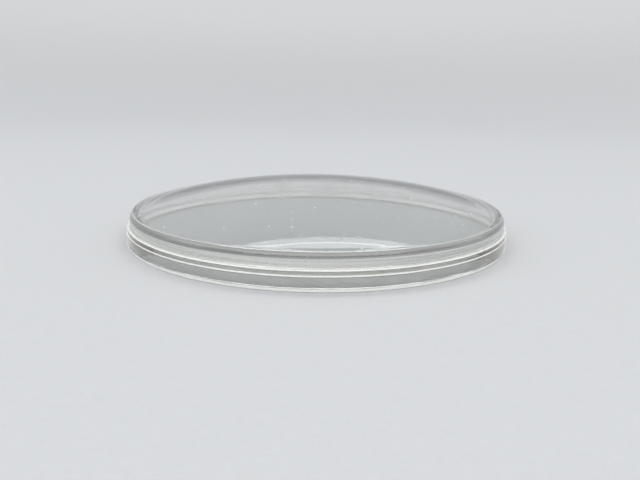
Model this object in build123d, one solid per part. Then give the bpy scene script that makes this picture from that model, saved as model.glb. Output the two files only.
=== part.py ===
from build123d import *
import os

# Domed watch crystal seated in its ring gasket.
# Millimetres, +Z up, origin at the centre of the underside.

# Ring gasket: an L-shaped section, a thin upright wall outside and a lip inside that carries the crystal.
# The wall has its full diameter up to the grip height, and leans in a little from there to its top
gasket_outer_diameter = 32.0
gasket_wall = 0.30
gasket_height = 1.40
gasket_grip_height = 0.75
gasket_draft = 0.12
gasket_top_round = 0.08
gasket_lead_in = 0.05
gasket_mouth_chamfer = 0.03
gasket_lip_reach = 0.95
gasket_lip_height = 0.85
gasket_lip_chamfer = 0.10

# Domed crystal: an upright ground edge under a rounded shoulder, a flat ground land below it,
# and two near-parallel domes, of which the inner one starts above a short step
crystal_edge_play = 0.02
crystal_rim_height = 1.53
crystal_shoulder_round = 0.50
crystal_dome_rise = 2.02
crystal_centre_thickness = 1.20
crystal_land_width = 0.85
crystal_land_bevel = 0.10
crystal_inner_step = 0.39
crystal_inner_round = 0.20

# Radii and heights that follow from them
gasket_outer_radius = gasket_outer_diameter / 2
gasket_top_radius = gasket_outer_radius - gasket_draft
gasket_bore_radius = gasket_outer_radius - gasket_wall
gasket_lip_radius = gasket_bore_radius - gasket_lip_reach
crystal_edge_radius = gasket_bore_radius - crystal_edge_play
crystal_land_radius = crystal_edge_radius - crystal_land_width
crystal_seat_z = gasket_lip_height
crystal_step_z = crystal_seat_z + crystal_inner_step
crystal_rim_z = crystal_seat_z + crystal_rim_height
crystal_apex_z = crystal_rim_z + crystal_dome_rise
crystal_inner_apex_z = crystal_apex_z - crystal_centre_thickness


def corner(section, radius, z):
    # the corner of a section that lies at this radius and height
    return section.vertices().sort_by_distance((radius, 0, z))[0]


def make_gasket_ring():
    outline = Polyline(
        (gasket_lip_radius, 0),
        (gasket_outer_radius, 0),
        (gasket_outer_radius, gasket_grip_height),
        (gasket_top_radius, gasket_height),
        (gasket_bore_radius, gasket_height),
        (gasket_bore_radius, gasket_lip_height),
        (gasket_lip_radius, gasket_lip_height),
        close=True,
    )
    section = make_face(Plane.XZ * outline)
    section = fillet(corner(section, gasket_top_radius, gasket_height), gasket_top_round)
    section = chamfer(corner(section, gasket_outer_radius, 0), gasket_lead_in)
    section = chamfer(corner(section, gasket_bore_radius, gasket_height), gasket_mouth_chamfer)
    section = chamfer(corner(section, gasket_lip_radius, gasket_lip_height), gasket_lip_chamfer)
    return revolve(section, Axis.Z)


def make_domed_crystal():
    outer_dome = TangentArc((0, crystal_apex_z), (crystal_edge_radius, crystal_rim_z), tangent=(1, 0))
    edge_land_and_step = Polyline(
        (crystal_edge_radius, crystal_rim_z),
        (crystal_edge_radius, crystal_seat_z),
        (crystal_land_radius, crystal_seat_z),
        (crystal_land_radius, crystal_step_z),
    )
    inner_dome = TangentArc((0, crystal_inner_apex_z), (crystal_land_radius, crystal_step_z), tangent=(1, 0))
    centre_line = Line((0, crystal_inner_apex_z), (0, crystal_apex_z))
    section = make_face(Plane.XZ * (outer_dome + edge_land_and_step + inner_dome + centre_line))
    section = fillet(corner(section, crystal_edge_radius, crystal_rim_z), crystal_shoulder_round)
    section = fillet(corner(section, crystal_land_radius, crystal_step_z), crystal_inner_round)
    section = chamfer(corner(section, crystal_edge_radius, crystal_seat_z), crystal_land_bevel)
    section = chamfer(corner(section, crystal_land_radius, crystal_seat_z), crystal_land_bevel)
    return revolve(section, Axis.Z)


pieces = {
    "gasket_ring": make_gasket_ring(),
    "domed_crystal": make_domed_crystal(),
}

os.makedirs("parts", exist_ok=True)
for node, solid in pieces.items():
    export_step(solid, f"parts/{node}.step")
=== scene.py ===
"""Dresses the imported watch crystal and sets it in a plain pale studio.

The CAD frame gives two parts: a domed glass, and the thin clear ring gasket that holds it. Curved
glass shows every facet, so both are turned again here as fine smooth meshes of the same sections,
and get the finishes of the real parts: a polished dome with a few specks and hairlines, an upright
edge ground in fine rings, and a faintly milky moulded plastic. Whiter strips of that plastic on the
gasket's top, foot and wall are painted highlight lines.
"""

import logging
import math
from dataclasses import dataclass, field
from enum import Enum, IntEnum

import bmesh
import bpy
from mathutils import Matrix, Vector


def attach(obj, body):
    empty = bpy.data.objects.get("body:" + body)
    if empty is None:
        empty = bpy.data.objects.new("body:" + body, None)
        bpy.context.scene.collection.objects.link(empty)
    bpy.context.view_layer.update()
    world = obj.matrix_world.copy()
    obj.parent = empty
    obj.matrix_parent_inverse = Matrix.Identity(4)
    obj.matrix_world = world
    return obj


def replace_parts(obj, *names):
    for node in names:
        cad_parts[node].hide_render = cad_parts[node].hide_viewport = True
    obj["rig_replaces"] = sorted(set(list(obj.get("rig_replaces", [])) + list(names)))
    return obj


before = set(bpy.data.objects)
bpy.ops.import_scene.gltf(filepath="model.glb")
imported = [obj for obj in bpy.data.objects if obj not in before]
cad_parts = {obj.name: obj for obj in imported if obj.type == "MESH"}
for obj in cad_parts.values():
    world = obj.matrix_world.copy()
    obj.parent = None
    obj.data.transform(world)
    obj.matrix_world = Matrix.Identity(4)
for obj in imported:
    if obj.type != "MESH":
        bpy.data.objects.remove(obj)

log = logging.getLogger("watch_crystal")

MILLIMETRE = 0.001
BODY = "root"

Colour = tuple[float, float, float, float]
Span = tuple[float, float]
Stretch = tuple[float, float, float]
Socket = bpy.types.NodeSocket

WHOLE: Span = (0.0, 1.0)


class Slot(Enum):
    """The record's material slots."""

    GLASS = "clear_glass"
    PLASTIC = "milky_clear_plastic"


class Node(Enum):
    """The CAD nodes that the turned pieces stand for."""

    CRYSTAL = "domed_crystal"
    GASKET = "gasket_ring"


class GlassFace(IntEnum):
    """The finishes of the glass, by their place in its material list."""

    POLISHED = 0
    GROUND = 1
    SHELTERED = 2


class GasketFace(IntEnum):
    """The finishes of the gasket, by their place in its material list."""

    MOULDED = 0
    # PAINTED_HIGHLIGHT: whiter plastic that paints the highlight lines on the gasket's top, foot and
    # wall.
    PAINTED_HIGHLIGHT = 1


class Spread(Enum):
    """How a pattern of specks is laid out."""

    FROM_ABOVE = "2D"
    IN_THE_BODY = "3D"


class Sum(Enum):
    """The ways to join two patterns."""

    ADD = "ADD"
    SUBTRACT = "SUBTRACT"
    MULTIPLY = "MULTIPLY"
    LARGER = "MAXIMUM"


def stand(name: str, data: bpy.types.ID) -> bpy.types.Object:
    """Makes an object and puts it in the scene.

    Args:
        name: the object's name.
        data: its mesh, lamp or camera.

    Returns:
        The object.
    """
    made = bpy.data.objects.new(name, data)
    bpy.context.scene.collection.objects.link(made)
    return made


class TurnedSection:
    """A cross-section drawn from one point with extrudes and spins, then turned about the axis.

    Points nearer than MERGE_DISTANCE, in mm, become one, and rings sharper than SHARP_ANGLE are
    rounded with ROUND_SEGMENTS strips.
    """

    MERGE_DISTANCE = 1e-4
    SHARP_ANGLE = math.radians(20.0)
    ROUND_SEGMENTS = 4

    def __init__(self, radius: float, height: float) -> None:
        """Starts the section at a point.

        Args:
            radius: the point's distance from the axis, in mm.
            height: the point's height above the underside, in mm.
        """
        self.mesh = bmesh.new()
        self.first = self.mesh.verts.new((radius, 0.0, height))
        self.tip = self.first

    def line(self, radius: float, height: float) -> None:
        """Extrudes the tip in a straight line.

        Args:
            radius: where the line ends, in mm from the axis.
            height: where the line ends, in mm above the underside.
        """
        made = bmesh.ops.extrude_vert_indiv(self.mesh, verts=[self.tip])
        self.tip = made["verts"][0]
        self.tip.co = Vector((radius, 0.0, height))

    def arc(self, radius: float, height: float, angle: float, steps: int) -> None:
        """Spins the tip about a centre in the section's own plane.

        Args:
            radius: the centre's distance from the axis, in mm.
            height: the centre's height, in mm.
            angle: how far to turn, in radians; above zero runs outwards and down from a top.
            steps: how many straight pieces the arc is made of.
        """
        made = bmesh.ops.spin(
            self.mesh,
            geom=[self.tip],
            cent=Vector((radius, 0.0, height)),
            axis=Vector((0.0, 1.0, 0.0)),
            angle=angle,
            steps=steps,
            use_merge=False,
            use_duplicate=False,
        )
        self.tip = next(part for part in made["geom_last"] if isinstance(part, bmesh.types.BMVert))

    def close(self) -> None:
        """Joins the tip to the first point."""
        self.mesh.edges.new((self.tip, self.first))

    def turn(self, name: str, steps: int, soft_edge: float) -> bpy.types.Object:
        """Turns the section into a closed body, with its sharp rings rounded a little.

        Args:
            name: the new piece's name.
            steps: how many wedges make the full turn.
            soft_edge: the width of the round on every sharp ring, in mm, or 0 for none.

        Returns:
            The piece, in metres, with no material yet.
        """
        bmesh.ops.spin(
            self.mesh,
            geom=list(self.mesh.verts) + list(self.mesh.edges),
            cent=Vector((0.0, 0.0, 0.0)),
            axis=Vector((0.0, 0.0, 1.0)),
            angle=math.tau,
            steps=steps,
            use_merge=True,
            use_duplicate=False,
        )
        bmesh.ops.remove_doubles(self.mesh, verts=self.mesh.verts, dist=self.MERGE_DISTANCE)
        bmesh.ops.recalc_face_normals(self.mesh, faces=self.mesh.faces)
        if soft_edge > 0.0:
            self.soften(soft_edge)
        bmesh.ops.scale(self.mesh, vec=Vector((MILLIMETRE,) * 3), verts=self.mesh.verts)
        data = bpy.data.meshes.new(name)
        self.mesh.to_mesh(data)
        self.mesh.free()
        data.shade_smooth()
        return stand(name, data)

    def soften(self, soft_edge: float) -> None:
        """Rounds every sharp ring.

        Args:
            soft_edge: the width of the round, in mm.
        """
        solid = [edge for edge in self.mesh.edges if edge.is_manifold]
        bmesh.ops.bevel(
            self.mesh,
            geom=[edge for edge in solid if edge.calc_face_angle(0.0) > self.SHARP_ANGLE],
            offset=soft_edge,
            offset_type="OFFSET",
            affect="EDGES",
            segments=self.ROUND_SEGMENTS,
            profile=0.5,
            material=-1,
            clamp_overlap=True,
        )


@dataclass(frozen=True)
class Mottle:
    """A mottled pattern, which a stretch along one axis draws out into rings or streaks.

    stretch says how many pattern units a millimetre holds along each axis, detail how many finer
    layers there are, rough how strong they are, and turn how far it is turned, in radians.
    """

    stretch: Stretch
    detail: float
    rough: float
    turn: float = 0.0


@dataclass(frozen=True)
class Specks:
    """Scattered round specks, at most one to each cell of a grid.

    spacing is the grid's, and size is the radius of the largest speck, both in mm. share says how
    many of the cells hold a speck, and fade how much of that radius the soft rim takes.
    """

    spacing: float
    size: float
    share: float
    spread: Spread
    fade: float = 0.25


@dataclass(frozen=True)
class Hairlines:
    """Thin straight scratches that run one way.

    length is about how long a scratch runs, and apart about how far it is to the next, both in mm.
    turn is the way that they run, in radians from X. They follow the crests of a stretched mottle
    with its own detail and rough: crest is its value there, and share says how narrow they are.
    """

    length: float
    apart: float
    turn: float
    share: float
    crest: float = 0.68
    detail: float = 1.0
    rough: float = 0.4

    def mottle(self, turn: float) -> Mottle:
        """The mottle whose crests the scratches follow, turned on by an angle in radians."""
        stretch = (1.0 / self.length, 1.0 / self.apart, 1.0 / self.length)
        return Mottle(stretch, self.detail, self.rough, self.turn + turn)


class Bench:
    """A material's node tree, with short ways to set and join its nodes."""

    def __init__(self, name: str) -> None:
        """Makes a material with one Principled shader.

        Args:
            name: the material's name.
        """
        self.material = bpy.data.materials.new(name)
        self.material.use_nodes = True
        self.tree = self.material.node_tree
        self.shader = self.tree.nodes["Principled BSDF"]

    def add(self, kind: str, **settings: object) -> bpy.types.Node:
        """Adds a node and sets its own options.

        Args:
            kind: Blender's name for the node's type.
            settings: options of the node, by name.

        Returns:
            The node.
        """
        node = self.tree.nodes.new(kind)
        for key, value in settings.items():
            setattr(node, key, value)
        return node

    def join(self, source: Socket, target: Socket) -> None:
        """Links one socket to another."""
        self.tree.links.new(source, target)

    def feed(self, source: Socket, name: str) -> None:
        """Links a socket to the shader's input of that name."""
        self.join(source, self.shader.inputs[name])

    def fix(self, name: str, value: float | Colour) -> None:
        """Sets the shader's input of that name to one value all over."""
        self.shader.inputs[name].default_value = value

    def millimetres(self, stretch: Stretch, turn: float = 0.0) -> Socket:
        """Object coordinates counted in millimetres, stretched to set a pattern's size.

        Args:
            stretch: how many pattern units a millimetre holds along each axis.
            turn: how far the pattern is turned about the axis, in radians.

        Returns:
            The socket that carries the coordinates.
        """
        place = self.add("ShaderNodeTexCoord")
        turned = self.add("ShaderNodeMapping", vector_type="POINT")
        turned.inputs["Rotation"].default_value = (0.0, 0.0, turn)
        scaled = self.add("ShaderNodeMapping", vector_type="POINT")
        scaled.inputs["Scale"].default_value = tuple(units / MILLIMETRE for units in stretch)
        self.join(place.outputs["Object"], turned.inputs["Vector"])
        self.join(turned.outputs["Vector"], scaled.inputs["Vector"])
        return scaled.outputs["Vector"]

    def height(self) -> Socket:
        """The height above the underside.

        Returns:
            The socket that carries it, in mm.
        """
        split = self.add("ShaderNodeSeparateXYZ")
        self.join(self.millimetres((1.0, 1.0, 1.0)), split.inputs["Vector"])
        return split.outputs["Z"]

    def mottle(self, pattern: Mottle) -> Socket:
        """A mottled pattern.

        Args:
            pattern: its size, layers and turn.

        Returns:
            The socket that carries it, from 0 to 1.
        """
        where = self.millimetres(pattern.stretch, pattern.turn)
        node = self.add("ShaderNodeTexNoise", noise_dimensions="3D")
        node.inputs["Scale"].default_value = 1.0
        node.inputs["Detail"].default_value = pattern.detail
        node.inputs["Roughness"].default_value = pattern.rough
        self.join(where, node.inputs["Vector"])
        return node.outputs["Fac"]

    def ramp(self, source: Socket, span: Span, result: Span = WHOLE, eased: bool = True) -> Socket:
        """Maps a span of one value on to another, held at both ends.

        Args:
            source: the value.
            span: where the ramp starts and ends.
            result: what it gives at its start and at its end.
            eased: whether it eases in and out.

        Returns:
            The socket that carries the result.
        """
        kind = "SMOOTHSTEP" if eased else "LINEAR"
        node = self.add("ShaderNodeMapRange", interpolation_type=kind, clamp=True)
        node.inputs["From Min"].default_value = span[0]
        node.inputs["From Max"].default_value = span[1]
        node.inputs["To Min"].default_value = result[0]
        node.inputs["To Max"].default_value = result[1]
        self.join(source, node.inputs["Value"])
        return node.outputs["Result"]

    def sum_of(self, one: Socket, other: Socket, way: Sum = Sum.ADD, clamp: bool = False) -> Socket:
        """Joins two values into one.

        Args:
            one: the first value.
            other: the second value.
            way: how they are joined.
            clamp: whether the result is held from 0 to 1.

        Returns:
            The socket that carries the result.
        """
        node = self.add("ShaderNodeMath", operation=way.value, use_clamp=clamp)
        self.join(one, node.inputs[0])
        self.join(other, node.inputs[1])
        return node.outputs["Value"]

    def blend(self, share: Socket, low: Colour, high: Colour) -> Socket:
        """Mixes two colours.

        Args:
            share: how much of the second colour there is, from 0 to 1.
            low: the first colour.
            high: the second colour.

        Returns:
            The socket that carries the mix.
        """
        node = self.add("ShaderNodeMix", data_type="RGBA", blend_type="MIX")
        colours = [socket for socket in node.inputs if socket.type == "RGBA"]
        colours[0].default_value = low
        colours[1].default_value = high
        self.join(share, node.inputs["Factor"])
        return next(socket for socket in node.outputs if socket.type == "RGBA")

    def bump(self, height: Socket, depth: float) -> None:
        """Raises the surface by a height pattern.

        Args:
            height: the pattern, from 0 to 1.
            depth: the height of its highest point, in mm.
        """
        node = self.add("ShaderNodeBump")
        node.inputs["Strength"].default_value = 1.0
        node.inputs["Distance"].default_value = depth * MILLIMETRE
        self.join(height, node.inputs["Height"])
        self.feed(node.outputs["Normal"], "Normal")

    def specks(self, pattern: Specks, turn: float = 0.0) -> Socket:
        """Scattered round specks.

        Args:
            pattern: their sizes, share and spread.
            turn: how far their grid is turned about the axis, in radians.

        Returns:
            The socket that carries 1 on a speck and 0 beside it.
        """
        where = self.millimetres((1.0 / pattern.spacing,) * 3, turn)
        cells = self.add("ShaderNodeTexVoronoi", voronoi_dimensions=pattern.spread.value, feature="F1")
        cells.inputs["Scale"].default_value = 1.0
        cells.inputs["Randomness"].default_value = 1.0
        self.join(where, cells.inputs["Vector"])
        split = self.add("ShaderNodeSeparateColor")
        self.join(cells.outputs["Color"], split.inputs["Color"])
        largest = pattern.size / pattern.spacing
        chosen = (1.0 - pattern.share, 1.0)
        reach = self.ramp(split.outputs["Red"], chosen, (0.0, largest), eased=False)
        inside = self.sum_of(reach, cells.outputs["Distance"], Sum.SUBTRACT)
        return self.ramp(inside, (0.0, pattern.fade * largest))

    def hairlines(self, pattern: Hairlines, turn: float) -> Socket:
        """Thin straight scratches, turned on by an angle in radians: 1 on a scratch and 0 beside it."""
        crests = self.mottle(pattern.mottle(turn))
        return self.ramp(crests, (pattern.crest - pattern.share, pattern.crest))


@dataclass(frozen=True)
class PolishedGlass:
    """Clear polished mineral glass that has been handled: a few specks, hairlines and wipe marks.

    bend is its index of refraction, and turn, in radians, moves the specks and hairlines elsewhere.
    """

    name: str = "polished_glass"
    clear: Colour = (0.972, 0.985, 0.978, 1.0)
    speck: Colour = (0.97, 0.97, 0.95, 1.0)
    bend: float = 1.52
    turn: float = 0.0
    dust: Specks = Specks(spacing=1.5, size=0.10, share=0.45, spread=Spread.FROM_ABOVE)
    dust_rough: float = 0.5
    long_scratches: Hairlines = Hairlines(length=7.0, apart=0.9, turn=0.35, share=0.012)
    short_scratches: Hairlines = Hairlines(length=5.0, apart=1.1, turn=-0.9, share=0.010)
    scratch_rough: float = 0.07
    wipes: Mottle = Mottle(stretch=(0.10, 0.35, 0.2), detail=3.0, rough=0.55, turn=0.5)
    wipe_span: Span = (0.45, 0.75)
    wipe_rough: float = 0.006

    def make(self) -> bpy.types.Material:
        """Builds the material.

        Returns:
            The material.
        """
        bench = Bench(self.name)
        specks = bench.specks(self.dust, self.turn)
        scratches = bench.sum_of(
            bench.hairlines(self.long_scratches, self.turn),
            bench.hairlines(self.short_scratches, self.turn),
            Sum.LARGER,
        )
        wiped = bench.ramp(bench.mottle(self.wipes), self.wipe_span, (0.0, self.wipe_rough))
        rough = bench.sum_of(wiped, bench.ramp(scratches, WHOLE, (0.0, self.scratch_rough)))
        rough = bench.sum_of(rough, bench.ramp(specks, WHOLE, (0.0, self.dust_rough)), clamp=True)
        bench.fix("IOR", self.bend)
        bench.feed(bench.blend(specks, self.clear, self.speck), "Base Color")
        bench.feed(bench.ramp(specks, WHOLE, (1.0, 0.0)), "Transmission Weight")
        bench.feed(rough, "Roughness")
        return bench.material


def sheltered_glass() -> PolishedGlass:
    """The same glass on the hollow side, where less dust gets."""
    dust = Specks(spacing=1.5, size=0.10, share=0.12, spread=Spread.FROM_ABOVE)
    return PolishedGlass(name="sheltered_glass", dust=dust, turn=1.3)


@dataclass(frozen=True)
class GroundGlass:
    """The crystal's rim, ground in fine rings and left milky, and half polished on its shoulder.

    Between the ground and the polished height, both in mm, the glass gets clearer by what the
    polish clears, and keeps of its roughness and its rings the share that the polish leaves.
    """

    name: str = "ground_glass"
    milky: Colour = (0.96, 0.96, 0.93, 1.0)
    grey: Colour = (0.88, 0.885, 0.86, 1.0)
    bend: float = 1.52
    rings: Mottle = Mottle(stretch=(0.05, 0.05, 6.0), detail=1.0, rough=0.6)
    ring_share: float = 0.85
    ring_depth: float = 0.003
    grains: Mottle = Mottle(stretch=(14.0, 14.0, 14.0), detail=1.0, rough=0.5)
    grain_share: float = 0.15
    contrast: Span = (0.3, 0.7)
    passes: Span = (0.46, 0.30)
    rough: Span = (0.22, 0.42)
    ground_height: float = 1.97
    polished_height: float = 2.10
    polish_clears: float = 0.30
    polish_leaves: float = 0.12

    def make(self) -> bpy.types.Material:
        """Builds the material.

        Returns:
            The material.
        """
        bench = Bench(self.name)
        rings = bench.mottle(self.rings)
        grains = bench.mottle(self.grains)
        ground = bench.sum_of(
            bench.ramp(rings, self.contrast, (0.0, self.ring_share)),
            bench.ramp(grains, self.contrast, (0.0, self.grain_share)),
        )
        polished = bench.ramp(bench.height(), (self.ground_height, self.polished_height))
        clearer = bench.ramp(polished, WHOLE, (0.0, self.polish_clears))
        smoother = bench.ramp(polished, WHOLE, (1.0, self.polish_leaves))
        passes = bench.sum_of(bench.ramp(rings, self.contrast, self.passes), clearer)
        rough = bench.sum_of(bench.ramp(ground, WHOLE, self.rough), smoother, Sum.MULTIPLY)
        bench.fix("IOR", self.bend)
        bench.feed(bench.blend(ground, self.grey, self.milky), "Base Color")
        bench.feed(passes, "Transmission Weight")
        bench.feed(rough, "Roughness")
        bench.bump(bench.sum_of(rings, smoother, Sum.MULTIPLY), self.ring_depth)
        return bench.material


@dataclass(frozen=True)
class GasketPlastic:
    """Clear, faintly milky moulded plastic, glossy, with the slight ripple of a thin moulding.

    Its milk comes in soft clouds, between which it passes more light. The bloom is the pale sheen
    that shows where the surface is seen edge on.
    """

    name: str = "gasket_plastic"
    clear: Colour = (0.955, 0.955, 0.94, 1.0)
    milky: Colour = (0.90, 0.90, 0.87, 1.0)
    bend: float = 1.49
    clouds: Mottle = Mottle(stretch=(0.35, 0.35, 0.70), detail=3.0, rough=0.5)
    milk_span: Span = (0.35, 0.70)
    passes: Span = (0.96, 0.89)
    rough_span: Span = (0.30, 0.75)
    rough: Span = (0.03, 0.09)
    scuffs: Specks = Specks(spacing=0.6, size=0.06, share=0.5, spread=Spread.IN_THE_BODY)
    scuff_white: float = 0.5
    ripples: Mottle = Mottle(stretch=(0.45, 0.45, 2.2), detail=1.0, rough=0.4)
    ripple_depth: float = 0.0015
    bloom: float = 1.0
    bloom_rough: float = 0.30
    bloom_tint: Colour = (0.96, 0.94, 0.88, 1.0)

    def make(self) -> bpy.types.Material:
        """Builds the material.

        Returns:
            The material.
        """
        bench = Bench(self.name)
        clouds = bench.mottle(self.clouds)
        ripples = bench.mottle(self.ripples)
        scuffs = bench.ramp(bench.specks(self.scuffs), WHOLE, (0.0, self.scuff_white))
        milk = bench.ramp(clouds, self.milk_span)
        passes = bench.ramp(clouds, self.milk_span, self.passes)
        bench.fix("IOR", self.bend)
        bench.fix("Sheen Weight", self.bloom)
        bench.fix("Sheen Roughness", self.bloom_rough)
        bench.fix("Sheen Tint", self.bloom_tint)
        bench.feed(bench.blend(milk, self.clear, self.milky), "Base Color")
        bench.feed(bench.sum_of(passes, scuffs, Sum.SUBTRACT, clamp=True), "Transmission Weight")
        bench.feed(bench.ramp(clouds, self.rough_span, self.rough), "Roughness")
        bench.bump(ripples, self.ripple_depth)
        return bench.material


def painted_highlight_plastic() -> GasketPlastic:
    """The same plastic made whiter and less glossy, for the painted highlight lines of the gasket.

    Returns:
        The finish.
    """
    # Whiter and far less clear than the moulding, so that these strips show as painted highlight lines.
    return GasketPlastic(
        name="painted_highlight_plastic",
        clear=(0.97, 0.97, 0.94, 1.0),
        milky=(0.94, 0.94, 0.90, 1.0),
        clouds=Mottle(stretch=(1.2, 1.2, 2.4), detail=3.0, rough=0.5),
        passes=(0.10, 0.06),
        rough=(0.25, 0.35),
        ripple_depth=0.0006,
    )


@dataclass(frozen=True)
class StudioPaper:
    """The plain pale paper that the crystal lies on, which turns into an even pale backdrop above."""

    name: str = "studio_paper"
    floor: Colour = (0.60, 0.61, 0.62, 1.0)
    backdrop: Colour = (0.66, 0.67, 0.68, 1.0)
    fibres: Mottle = Mottle(stretch=(2.2, 2.2, 2.2), detail=4.0, rough=0.6)
    fibre_span: Span = (0.3, 0.7)
    fibre_shade: float = 0.985
    fibre_depth: float = 0.03
    rough: float = 0.9
    shine: float = 0.1
    fade_height: float = 70.0

    def make(self) -> bpy.types.Material:
        """Builds the material.

        Returns:
            The material.
        """
        bench = Bench(self.name)
        fibres = bench.mottle(self.fibres)
        red, green, blue = (self.fibre_shade * part for part in self.floor[:3])
        shade = (red, green, blue, 1.0)
        bench.feed(bench.blend(bench.ramp(fibres, self.fibre_span), shade, self.floor), "Base Color")
        bench.fix("Roughness", self.rough)
        bench.fix("Specular IOR Level", self.shine)
        bench.bump(fibres, self.fibre_depth)
        glow = bench.add("ShaderNodeEmission")
        glow.inputs["Color"].default_value = self.backdrop
        climb = bench.ramp(bench.height(), (0.0, self.fade_height))
        mix = bench.add("ShaderNodeMixShader")
        bench.join(bench.sum_of(climb, self.seen(bench), Sum.MULTIPLY), mix.inputs["Fac"])
        bench.join(bench.shader.outputs["BSDF"], mix.inputs[1])
        bench.join(glow.outputs["Emission"], mix.inputs[2])
        bench.join(mix.outputs["Shader"], bench.tree.nodes["Material Output"].inputs["Surface"])
        return bench.material

    @staticmethod
    def seen(bench: Bench) -> Socket:
        """Whether the camera sees the paper itself, in a gloss or through glass.

        Args:
            bench: the paper's node tree.

        Returns:
            The socket that carries 1 for such rays and 0 for the light that the paper gives.
        """
        path = bench.add("ShaderNodeLightPath")
        seen = bench.sum_of(path.outputs["Is Camera Ray"], path.outputs["Is Glossy Ray"], Sum.LARGER)
        return bench.sum_of(seen, path.outputs["Is Transmission Ray"], Sum.LARGER)


@dataclass
class DomedCrystal:
    """The double-domed glass, whose flat land sits on the gasket's lip. Sizes are in mm.

    It has sphere caps above and below, with a round shoulder and a ground upright edge between
    them. air_film keeps the land a hair above the lip. A face counts as flat, and isn't ground,
    where its normal points up or down by more than near_flat.
    """

    edge_radius: float = 15.68
    apex_height: float = 4.40
    rim_height: float = 2.38
    shoulder_round: float = 0.50
    seat_height: float = 0.85
    centre_thickness: float = 1.20
    land_radius: float = 14.83
    step_height: float = 1.24
    inner_round: float = 0.20
    land_bevel: float = 0.10
    air_film: float = 0.004
    soft_edge: float = 0.025
    near_flat: float = 0.95
    dome_steps: int = 44
    round_steps: int = 10
    turn_steps: int = 320
    polish: PolishedGlass = PolishedGlass()
    ground: GroundGlass = GroundGlass()
    sheltered: PolishedGlass = sheltered_glass()

    @staticmethod
    def sphere(apex: float, radius: float, height: float) -> tuple[float, float]:
        """The sphere through an apex and a ring.

        Args:
            apex: the height of the sphere's top, in mm.
            radius: the ring's radius, in mm.
            height: the ring's height, in mm.

        Returns:
            The sphere's radius and the height of its centre, in mm.
        """
        rise = apex - height
        size = (radius * radius + rise * rise) / (2.0 * rise)
        return size, apex - size

    def build(self) -> bpy.types.Object:
        """Turns the glass from its section.

        Returns:
            The piece, with no material yet.
        """
        edge = self.edge_radius
        outer, outer_centre = self.sphere(self.apex_height, edge, self.rim_height)
        shoulder = edge - self.shoulder_round
        outer_turn = math.asin(shoulder / (outer - self.shoulder_round))
        shoulder_height = outer_centre + (outer - self.shoulder_round) * math.cos(outer_turn)
        inner_apex = self.apex_height - self.centre_thickness
        inner, inner_centre = self.sphere(inner_apex, self.land_radius, self.step_height)
        hollow = self.land_radius - self.inner_round
        inner_turn = math.asin(hollow / (inner - self.inner_round))
        hollow_height = inner_centre + (inner - self.inner_round) * math.cos(inner_turn)
        seat = self.seat_height + self.air_film
        section = TurnedSection(0.0, self.apex_height)
        section.arc(0.0, outer_centre, outer_turn, self.dome_steps)
        section.arc(shoulder, shoulder_height, math.pi / 2.0 - outer_turn, self.round_steps)
        section.line(edge, seat + self.land_bevel)
        section.line(edge - self.land_bevel, seat)
        section.line(self.land_radius + self.land_bevel, seat)
        section.line(self.land_radius, seat + self.land_bevel)
        section.line(self.land_radius, hollow_height)
        section.arc(hollow, hollow_height, inner_turn - math.pi / 2.0, self.round_steps)
        section.arc(0.0, inner_centre, -inner_turn, self.dome_steps)
        return section.turn("crystal_glass", self.turn_steps, self.soft_edge)

    def dress(self, piece: bpy.types.Object) -> None:
        """Polishes the glass, cleaner on its hollow side, and grinds its edge, shoulder and bevel.

        Args:
            piece: the turned glass.
        """
        finishes = {
            GlassFace.POLISHED: self.polish,
            GlassFace.GROUND: self.ground,
            GlassFace.SHELTERED: self.sheltered,
        }
        for finish in finishes.values():
            piece.data.materials.append(finish.make())
        middle = (self.edge_radius + self.land_radius) / 2.0 * MILLIMETRE
        for face in piece.data.polygons:
            outside = Vector(face.center[:2]).length > middle
            if outside and abs(face.normal.z) < self.near_flat:
                face.material_index = GlassFace.GROUND
            elif face.normal.z < 0.0:
                face.material_index = GlassFace.SHELTERED

    def place(self) -> bpy.types.Object:
        """Builds and dresses the glass, and fixes it to the frame.

        Returns:
            The finished piece.
        """
        piece = self.build()
        self.dress(piece)
        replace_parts(piece, Node.CRYSTAL.value)
        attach(piece, BODY)
        return piece


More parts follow.
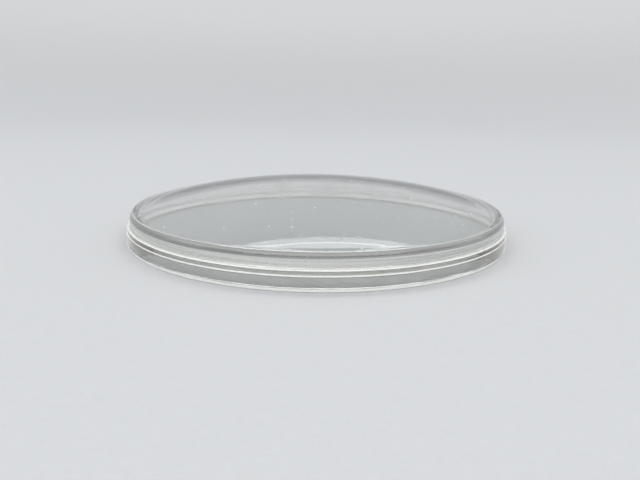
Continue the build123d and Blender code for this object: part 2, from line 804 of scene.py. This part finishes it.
@dataclass
class RingGasket:
    """The thin-walled clear ring with an inner lip that holds the glass by its edge. Sizes in mm.

    A narrow whiter ring on the leaning part of the wall is a painted highlight line, as are the
    whiter top of the wall, where its normal points up by more than facing_up, and the whiter foot.
    """

    outer_radius: float = 16.0
    bore_radius: float = 15.70
    lip_radius: float = 14.75
    wall_height: float = 1.40
    grip_height: float = 0.75
    draft: float = 0.12
    lip_height: float = 0.85
    top_round: float = 0.08
    lead_in: float = 0.05
    # The foot strip and the narrow ring on the wall carry painted highlight lines.
    highlight_foot_height: float = 0.20
    highlight_line_height: float = 0.98
    highlight_line_width: float = 0.10
    mouth_chamfer: float = 0.03
    lip_chamfer: float = 0.10
    soft_edge: float = 0.012
    facing_up: float = 0.25
    round_steps: int = 8
    turn_steps: int = 320
    plastic: GasketPlastic = GasketPlastic()
    # Whiter plastic that paints the highlight lines.
    highlight_finish: GasketPlastic = painted_highlight_plastic()

    def build(self) -> bpy.types.Object:
        """Turns the ring from its section.

        Returns:
            The piece, with no material yet.
        """
        outer = self.outer_radius
        lean = math.atan2(self.draft, self.wall_height - self.grip_height)
        centre_height = self.wall_height - self.top_round
        drop = (centre_height - self.grip_height) * math.sin(lean)
        centre = outer - (self.top_round + drop) / math.cos(lean)
        shoulder = centre + self.top_round * math.cos(lean)
        shoulder_height = centre_height + self.top_round * math.sin(lean)
        section = TurnedSection(self.lip_radius, 0.0)
        section.line(outer - self.lead_in, 0.0)
        section.line(outer, self.lead_in)
        # The foot strip up to here gets the whiter plastic, a painted highlight line.
        section.line(outer, self.highlight_foot_height)
        section.line(outer, self.grip_height)
        # A narrow band of faces for the painted highlight ring on the wall.
        for height in (self.highlight_line_height, self.highlight_line_height + self.highlight_line_width):
            section.line(outer - (height - self.grip_height) * math.tan(lean), height)
        section.line(shoulder, shoulder_height)
        section.arc(centre, centre_height, lean - math.pi / 2.0, self.round_steps)
        section.line(self.bore_radius + self.mouth_chamfer, self.wall_height)
        section.line(self.bore_radius, self.wall_height - self.mouth_chamfer)
        section.line(self.bore_radius, self.lip_height)
        section.line(self.lip_radius + self.lip_chamfer, self.lip_height)
        section.line(self.lip_radius, self.lip_height - self.lip_chamfer)
        section.close()
        return section.turn("gasket_moulding", self.turn_steps, self.soft_edge)

    def dress(self, piece: bpy.types.Object) -> None:
        """Gives the ring its plastic, whiter as painted highlight lines on top, foot and wall.

        Args:
            piece: the turned ring.
        """
        finishes = {GasketFace.MOULDED: self.plastic, GasketFace.PAINTED_HIGHLIGHT: self.highlight_finish}
        for finish in finishes.values():
            piece.data.materials.append(finish.make())
        shoulder = (self.wall_height - self.top_round) * MILLIMETRE
        foot = self.highlight_foot_height * MILLIMETRE
        inside = self.bore_radius * MILLIMETRE
        line = (self.highlight_line_height + self.highlight_line_width / 2.0) * MILLIMETRE
        half_width = self.highlight_line_width / 2.0 * MILLIMETRE
        # Faces on the top, the foot and the narrow ring get whiter plastic: painted highlight lines.
        for face in piece.data.polygons:
            middle = face.center
            top = face.normal.z > self.facing_up and middle.z > shoulder
            low = 0.0 < middle.z < foot
            highlight_ring = abs(middle.z - line) < half_width
            if (top or low or highlight_ring) and Vector(middle[:2]).length > inside:
                face.material_index = GasketFace.PAINTED_HIGHLIGHT

    def place(self) -> bpy.types.Object:
        """Builds and dresses the ring, and fixes it to the frame.

        Returns:
            The finished piece.
        """
        piece = self.build()
        self.dress(piece)
        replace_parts(piece, Node.GASKET.value)
        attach(piece, BODY)
        return piece


@dataclass
class Sweep:
    """A round pale sweep, a hair below the crystal: flat there and curved up all round. Sizes in mm."""

    floor_radius: float = 160.0
    bend_radius: float = 420.0
    bend_angle: float = math.radians(75.0)
    wall_length: float = 200.0
    bend_steps: int = 24
    turn_steps: int = 128
    gap: float = 0.01
    paper: StudioPaper = StudioPaper()

    def place(self) -> bpy.types.Object:
        """Builds the sweep and gives it its paper.

        Returns:
            The sweep.
        """
        top_radius = self.floor_radius + self.bend_radius * math.sin(self.bend_angle)
        top_height = self.bend_radius * (1.0 - math.cos(self.bend_angle)) - self.gap
        section = TurnedSection(0.0, -self.gap)
        section.line(self.floor_radius, -self.gap)
        section.arc(self.floor_radius, self.bend_radius - self.gap, -self.bend_angle, self.bend_steps)
        section.line(
            top_radius + self.wall_length * math.cos(self.bend_angle),
            top_height + self.wall_length * math.sin(self.bend_angle),
        )
        sweep = section.turn("paper_sweep", self.turn_steps, 0.0)
        sweep.data.materials.append(self.paper.make())
        return sweep


@dataclass(frozen=True)
class SoftBox:
    """One soft studio lamp. Sizes and places are in mm, and its brightness is what its face shows."""

    name: str
    place: tuple[float, float, float]
    width: float
    height: float
    brightness: float
    aim: tuple[float, float, float] = (0.0, 0.0, 2.0)

    def hang(self) -> None:
        """Hangs the lamp, out of the camera's own sight."""
        data = bpy.data.lights.new(self.name, "AREA")
        data.shape = "RECTANGLE"
        data.size = self.width * MILLIMETRE
        data.size_y = self.height * MILLIMETRE
        data.energy = self.brightness * math.pi * data.size * data.size_y
        lamp = stand(self.name, data)
        lamp.location = Vector(self.place) * MILLIMETRE
        lamp.rotation_mode = "QUATERNION"
        way = (Vector(self.aim) - Vector(self.place)).normalized()
        lamp.rotation_quaternion = way.to_track_quat("-Z", "Y")
        lamp.visible_camera = False


@dataclass(frozen=True)
class Camera:
    """The camera that gives the photograph's view of a crystal of this size.

    Distances are in mm, angles in radians, and the focal length in pixels of the picture's width.
    """

    frame_width: int = 640
    focal_pixels: float = 555.8
    sensor_width: float = 36.0
    distance: float = 48.0
    height: float = 11.89
    across: float = 0.277
    pitch: float = 0.2606
    roll: float = -0.0150
    near: float = 1.0
    far: float = 6000.0

    def place(self) -> None:
        """Sets the camera and makes it the scene's own."""
        data = bpy.data.cameras.new("camera")
        data.sensor_width = self.sensor_width
        data.lens = self.sensor_width * self.focal_pixels / self.frame_width
        data.clip_start = self.near * MILLIMETRE
        data.clip_end = self.far * MILLIMETRE
        camera = stand("camera", data)
        camera.location = Vector((self.across, -self.distance, self.height)) * MILLIMETRE
        camera.rotation_mode = "QUATERNION"
        tilt = Matrix.Rotation(math.pi / 2.0 - self.pitch, 3, "X")
        lean = Matrix.Rotation(-self.roll, 3, "Z")
        camera.rotation_quaternion = (tilt @ lean).to_quaternion()
        bpy.context.scene.camera = camera


@dataclass
class Studio:
    """The sweep, the soft boxes, the plain sky and the camera."""

    sweep: Sweep = field(default_factory=Sweep)
    camera: Camera = Camera()
    sky: Colour = (0.97, 0.985, 1.0, 1.0)
    sky_strength: float = 0.56
    lamps: tuple[SoftBox, ...] = (
        SoftBox("back_strip", (-40.0, 330.0, 327.0), width=430.0, height=20.0, brightness=2.2),
        SoftBox("top_softbox", (-20.0, 190.0, 420.0), width=420.0, height=110.0, brightness=4.0),
        SoftBox("left_softbox", (-300.0, -40.0, 170.0), width=180.0, height=220.0, brightness=0.92),
        SoftBox("right_softbox", (310.0, 60.0, 150.0), width=160.0, height=220.0, brightness=0.82),
        SoftBox("front_softbox", (20.0, -265.0, 330.0), width=700.0, height=260.0, brightness=2.03),
    )

    def light(self) -> None:
        """Lights the sweep with a plain sky and the soft boxes."""
        world = bpy.data.worlds.new("studio_sky")
        bpy.context.scene.world = world
        world.use_nodes = True
        background = world.node_tree.nodes["Background"]
        background.inputs["Color"].default_value = self.sky
        background.inputs["Strength"].default_value = self.sky_strength
        for lamp in self.lamps:
            lamp.hang()

    def place(self) -> None:
        """Builds the studio in order: sweep, light, camera."""
        sweep = self.sweep.place()
        log.info("%s lies under the crystal, %d faces", sweep.name, len(sweep.data.polygons))
        self.light()
        log.info("%d lamps hang round it", len(self.lamps))
        self.camera.place()
        bpy.context.scene.view_settings.view_transform = "Standard"


def main() -> None:
    """Builds the pieces and the studio."""
    logging.basicConfig(level=logging.INFO, format="%(name)s: %(message)s")
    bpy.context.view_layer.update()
    for part in (RingGasket(), DomedCrystal()):
        piece = part.place()
        nodes = list(piece["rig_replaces"])
        log.info("%s stands for %s, %d faces", piece.name, nodes, len(piece.data.polygons))
    Studio().place()
    log.info("camera and light are set")


if __name__ == "__main__":
    main()
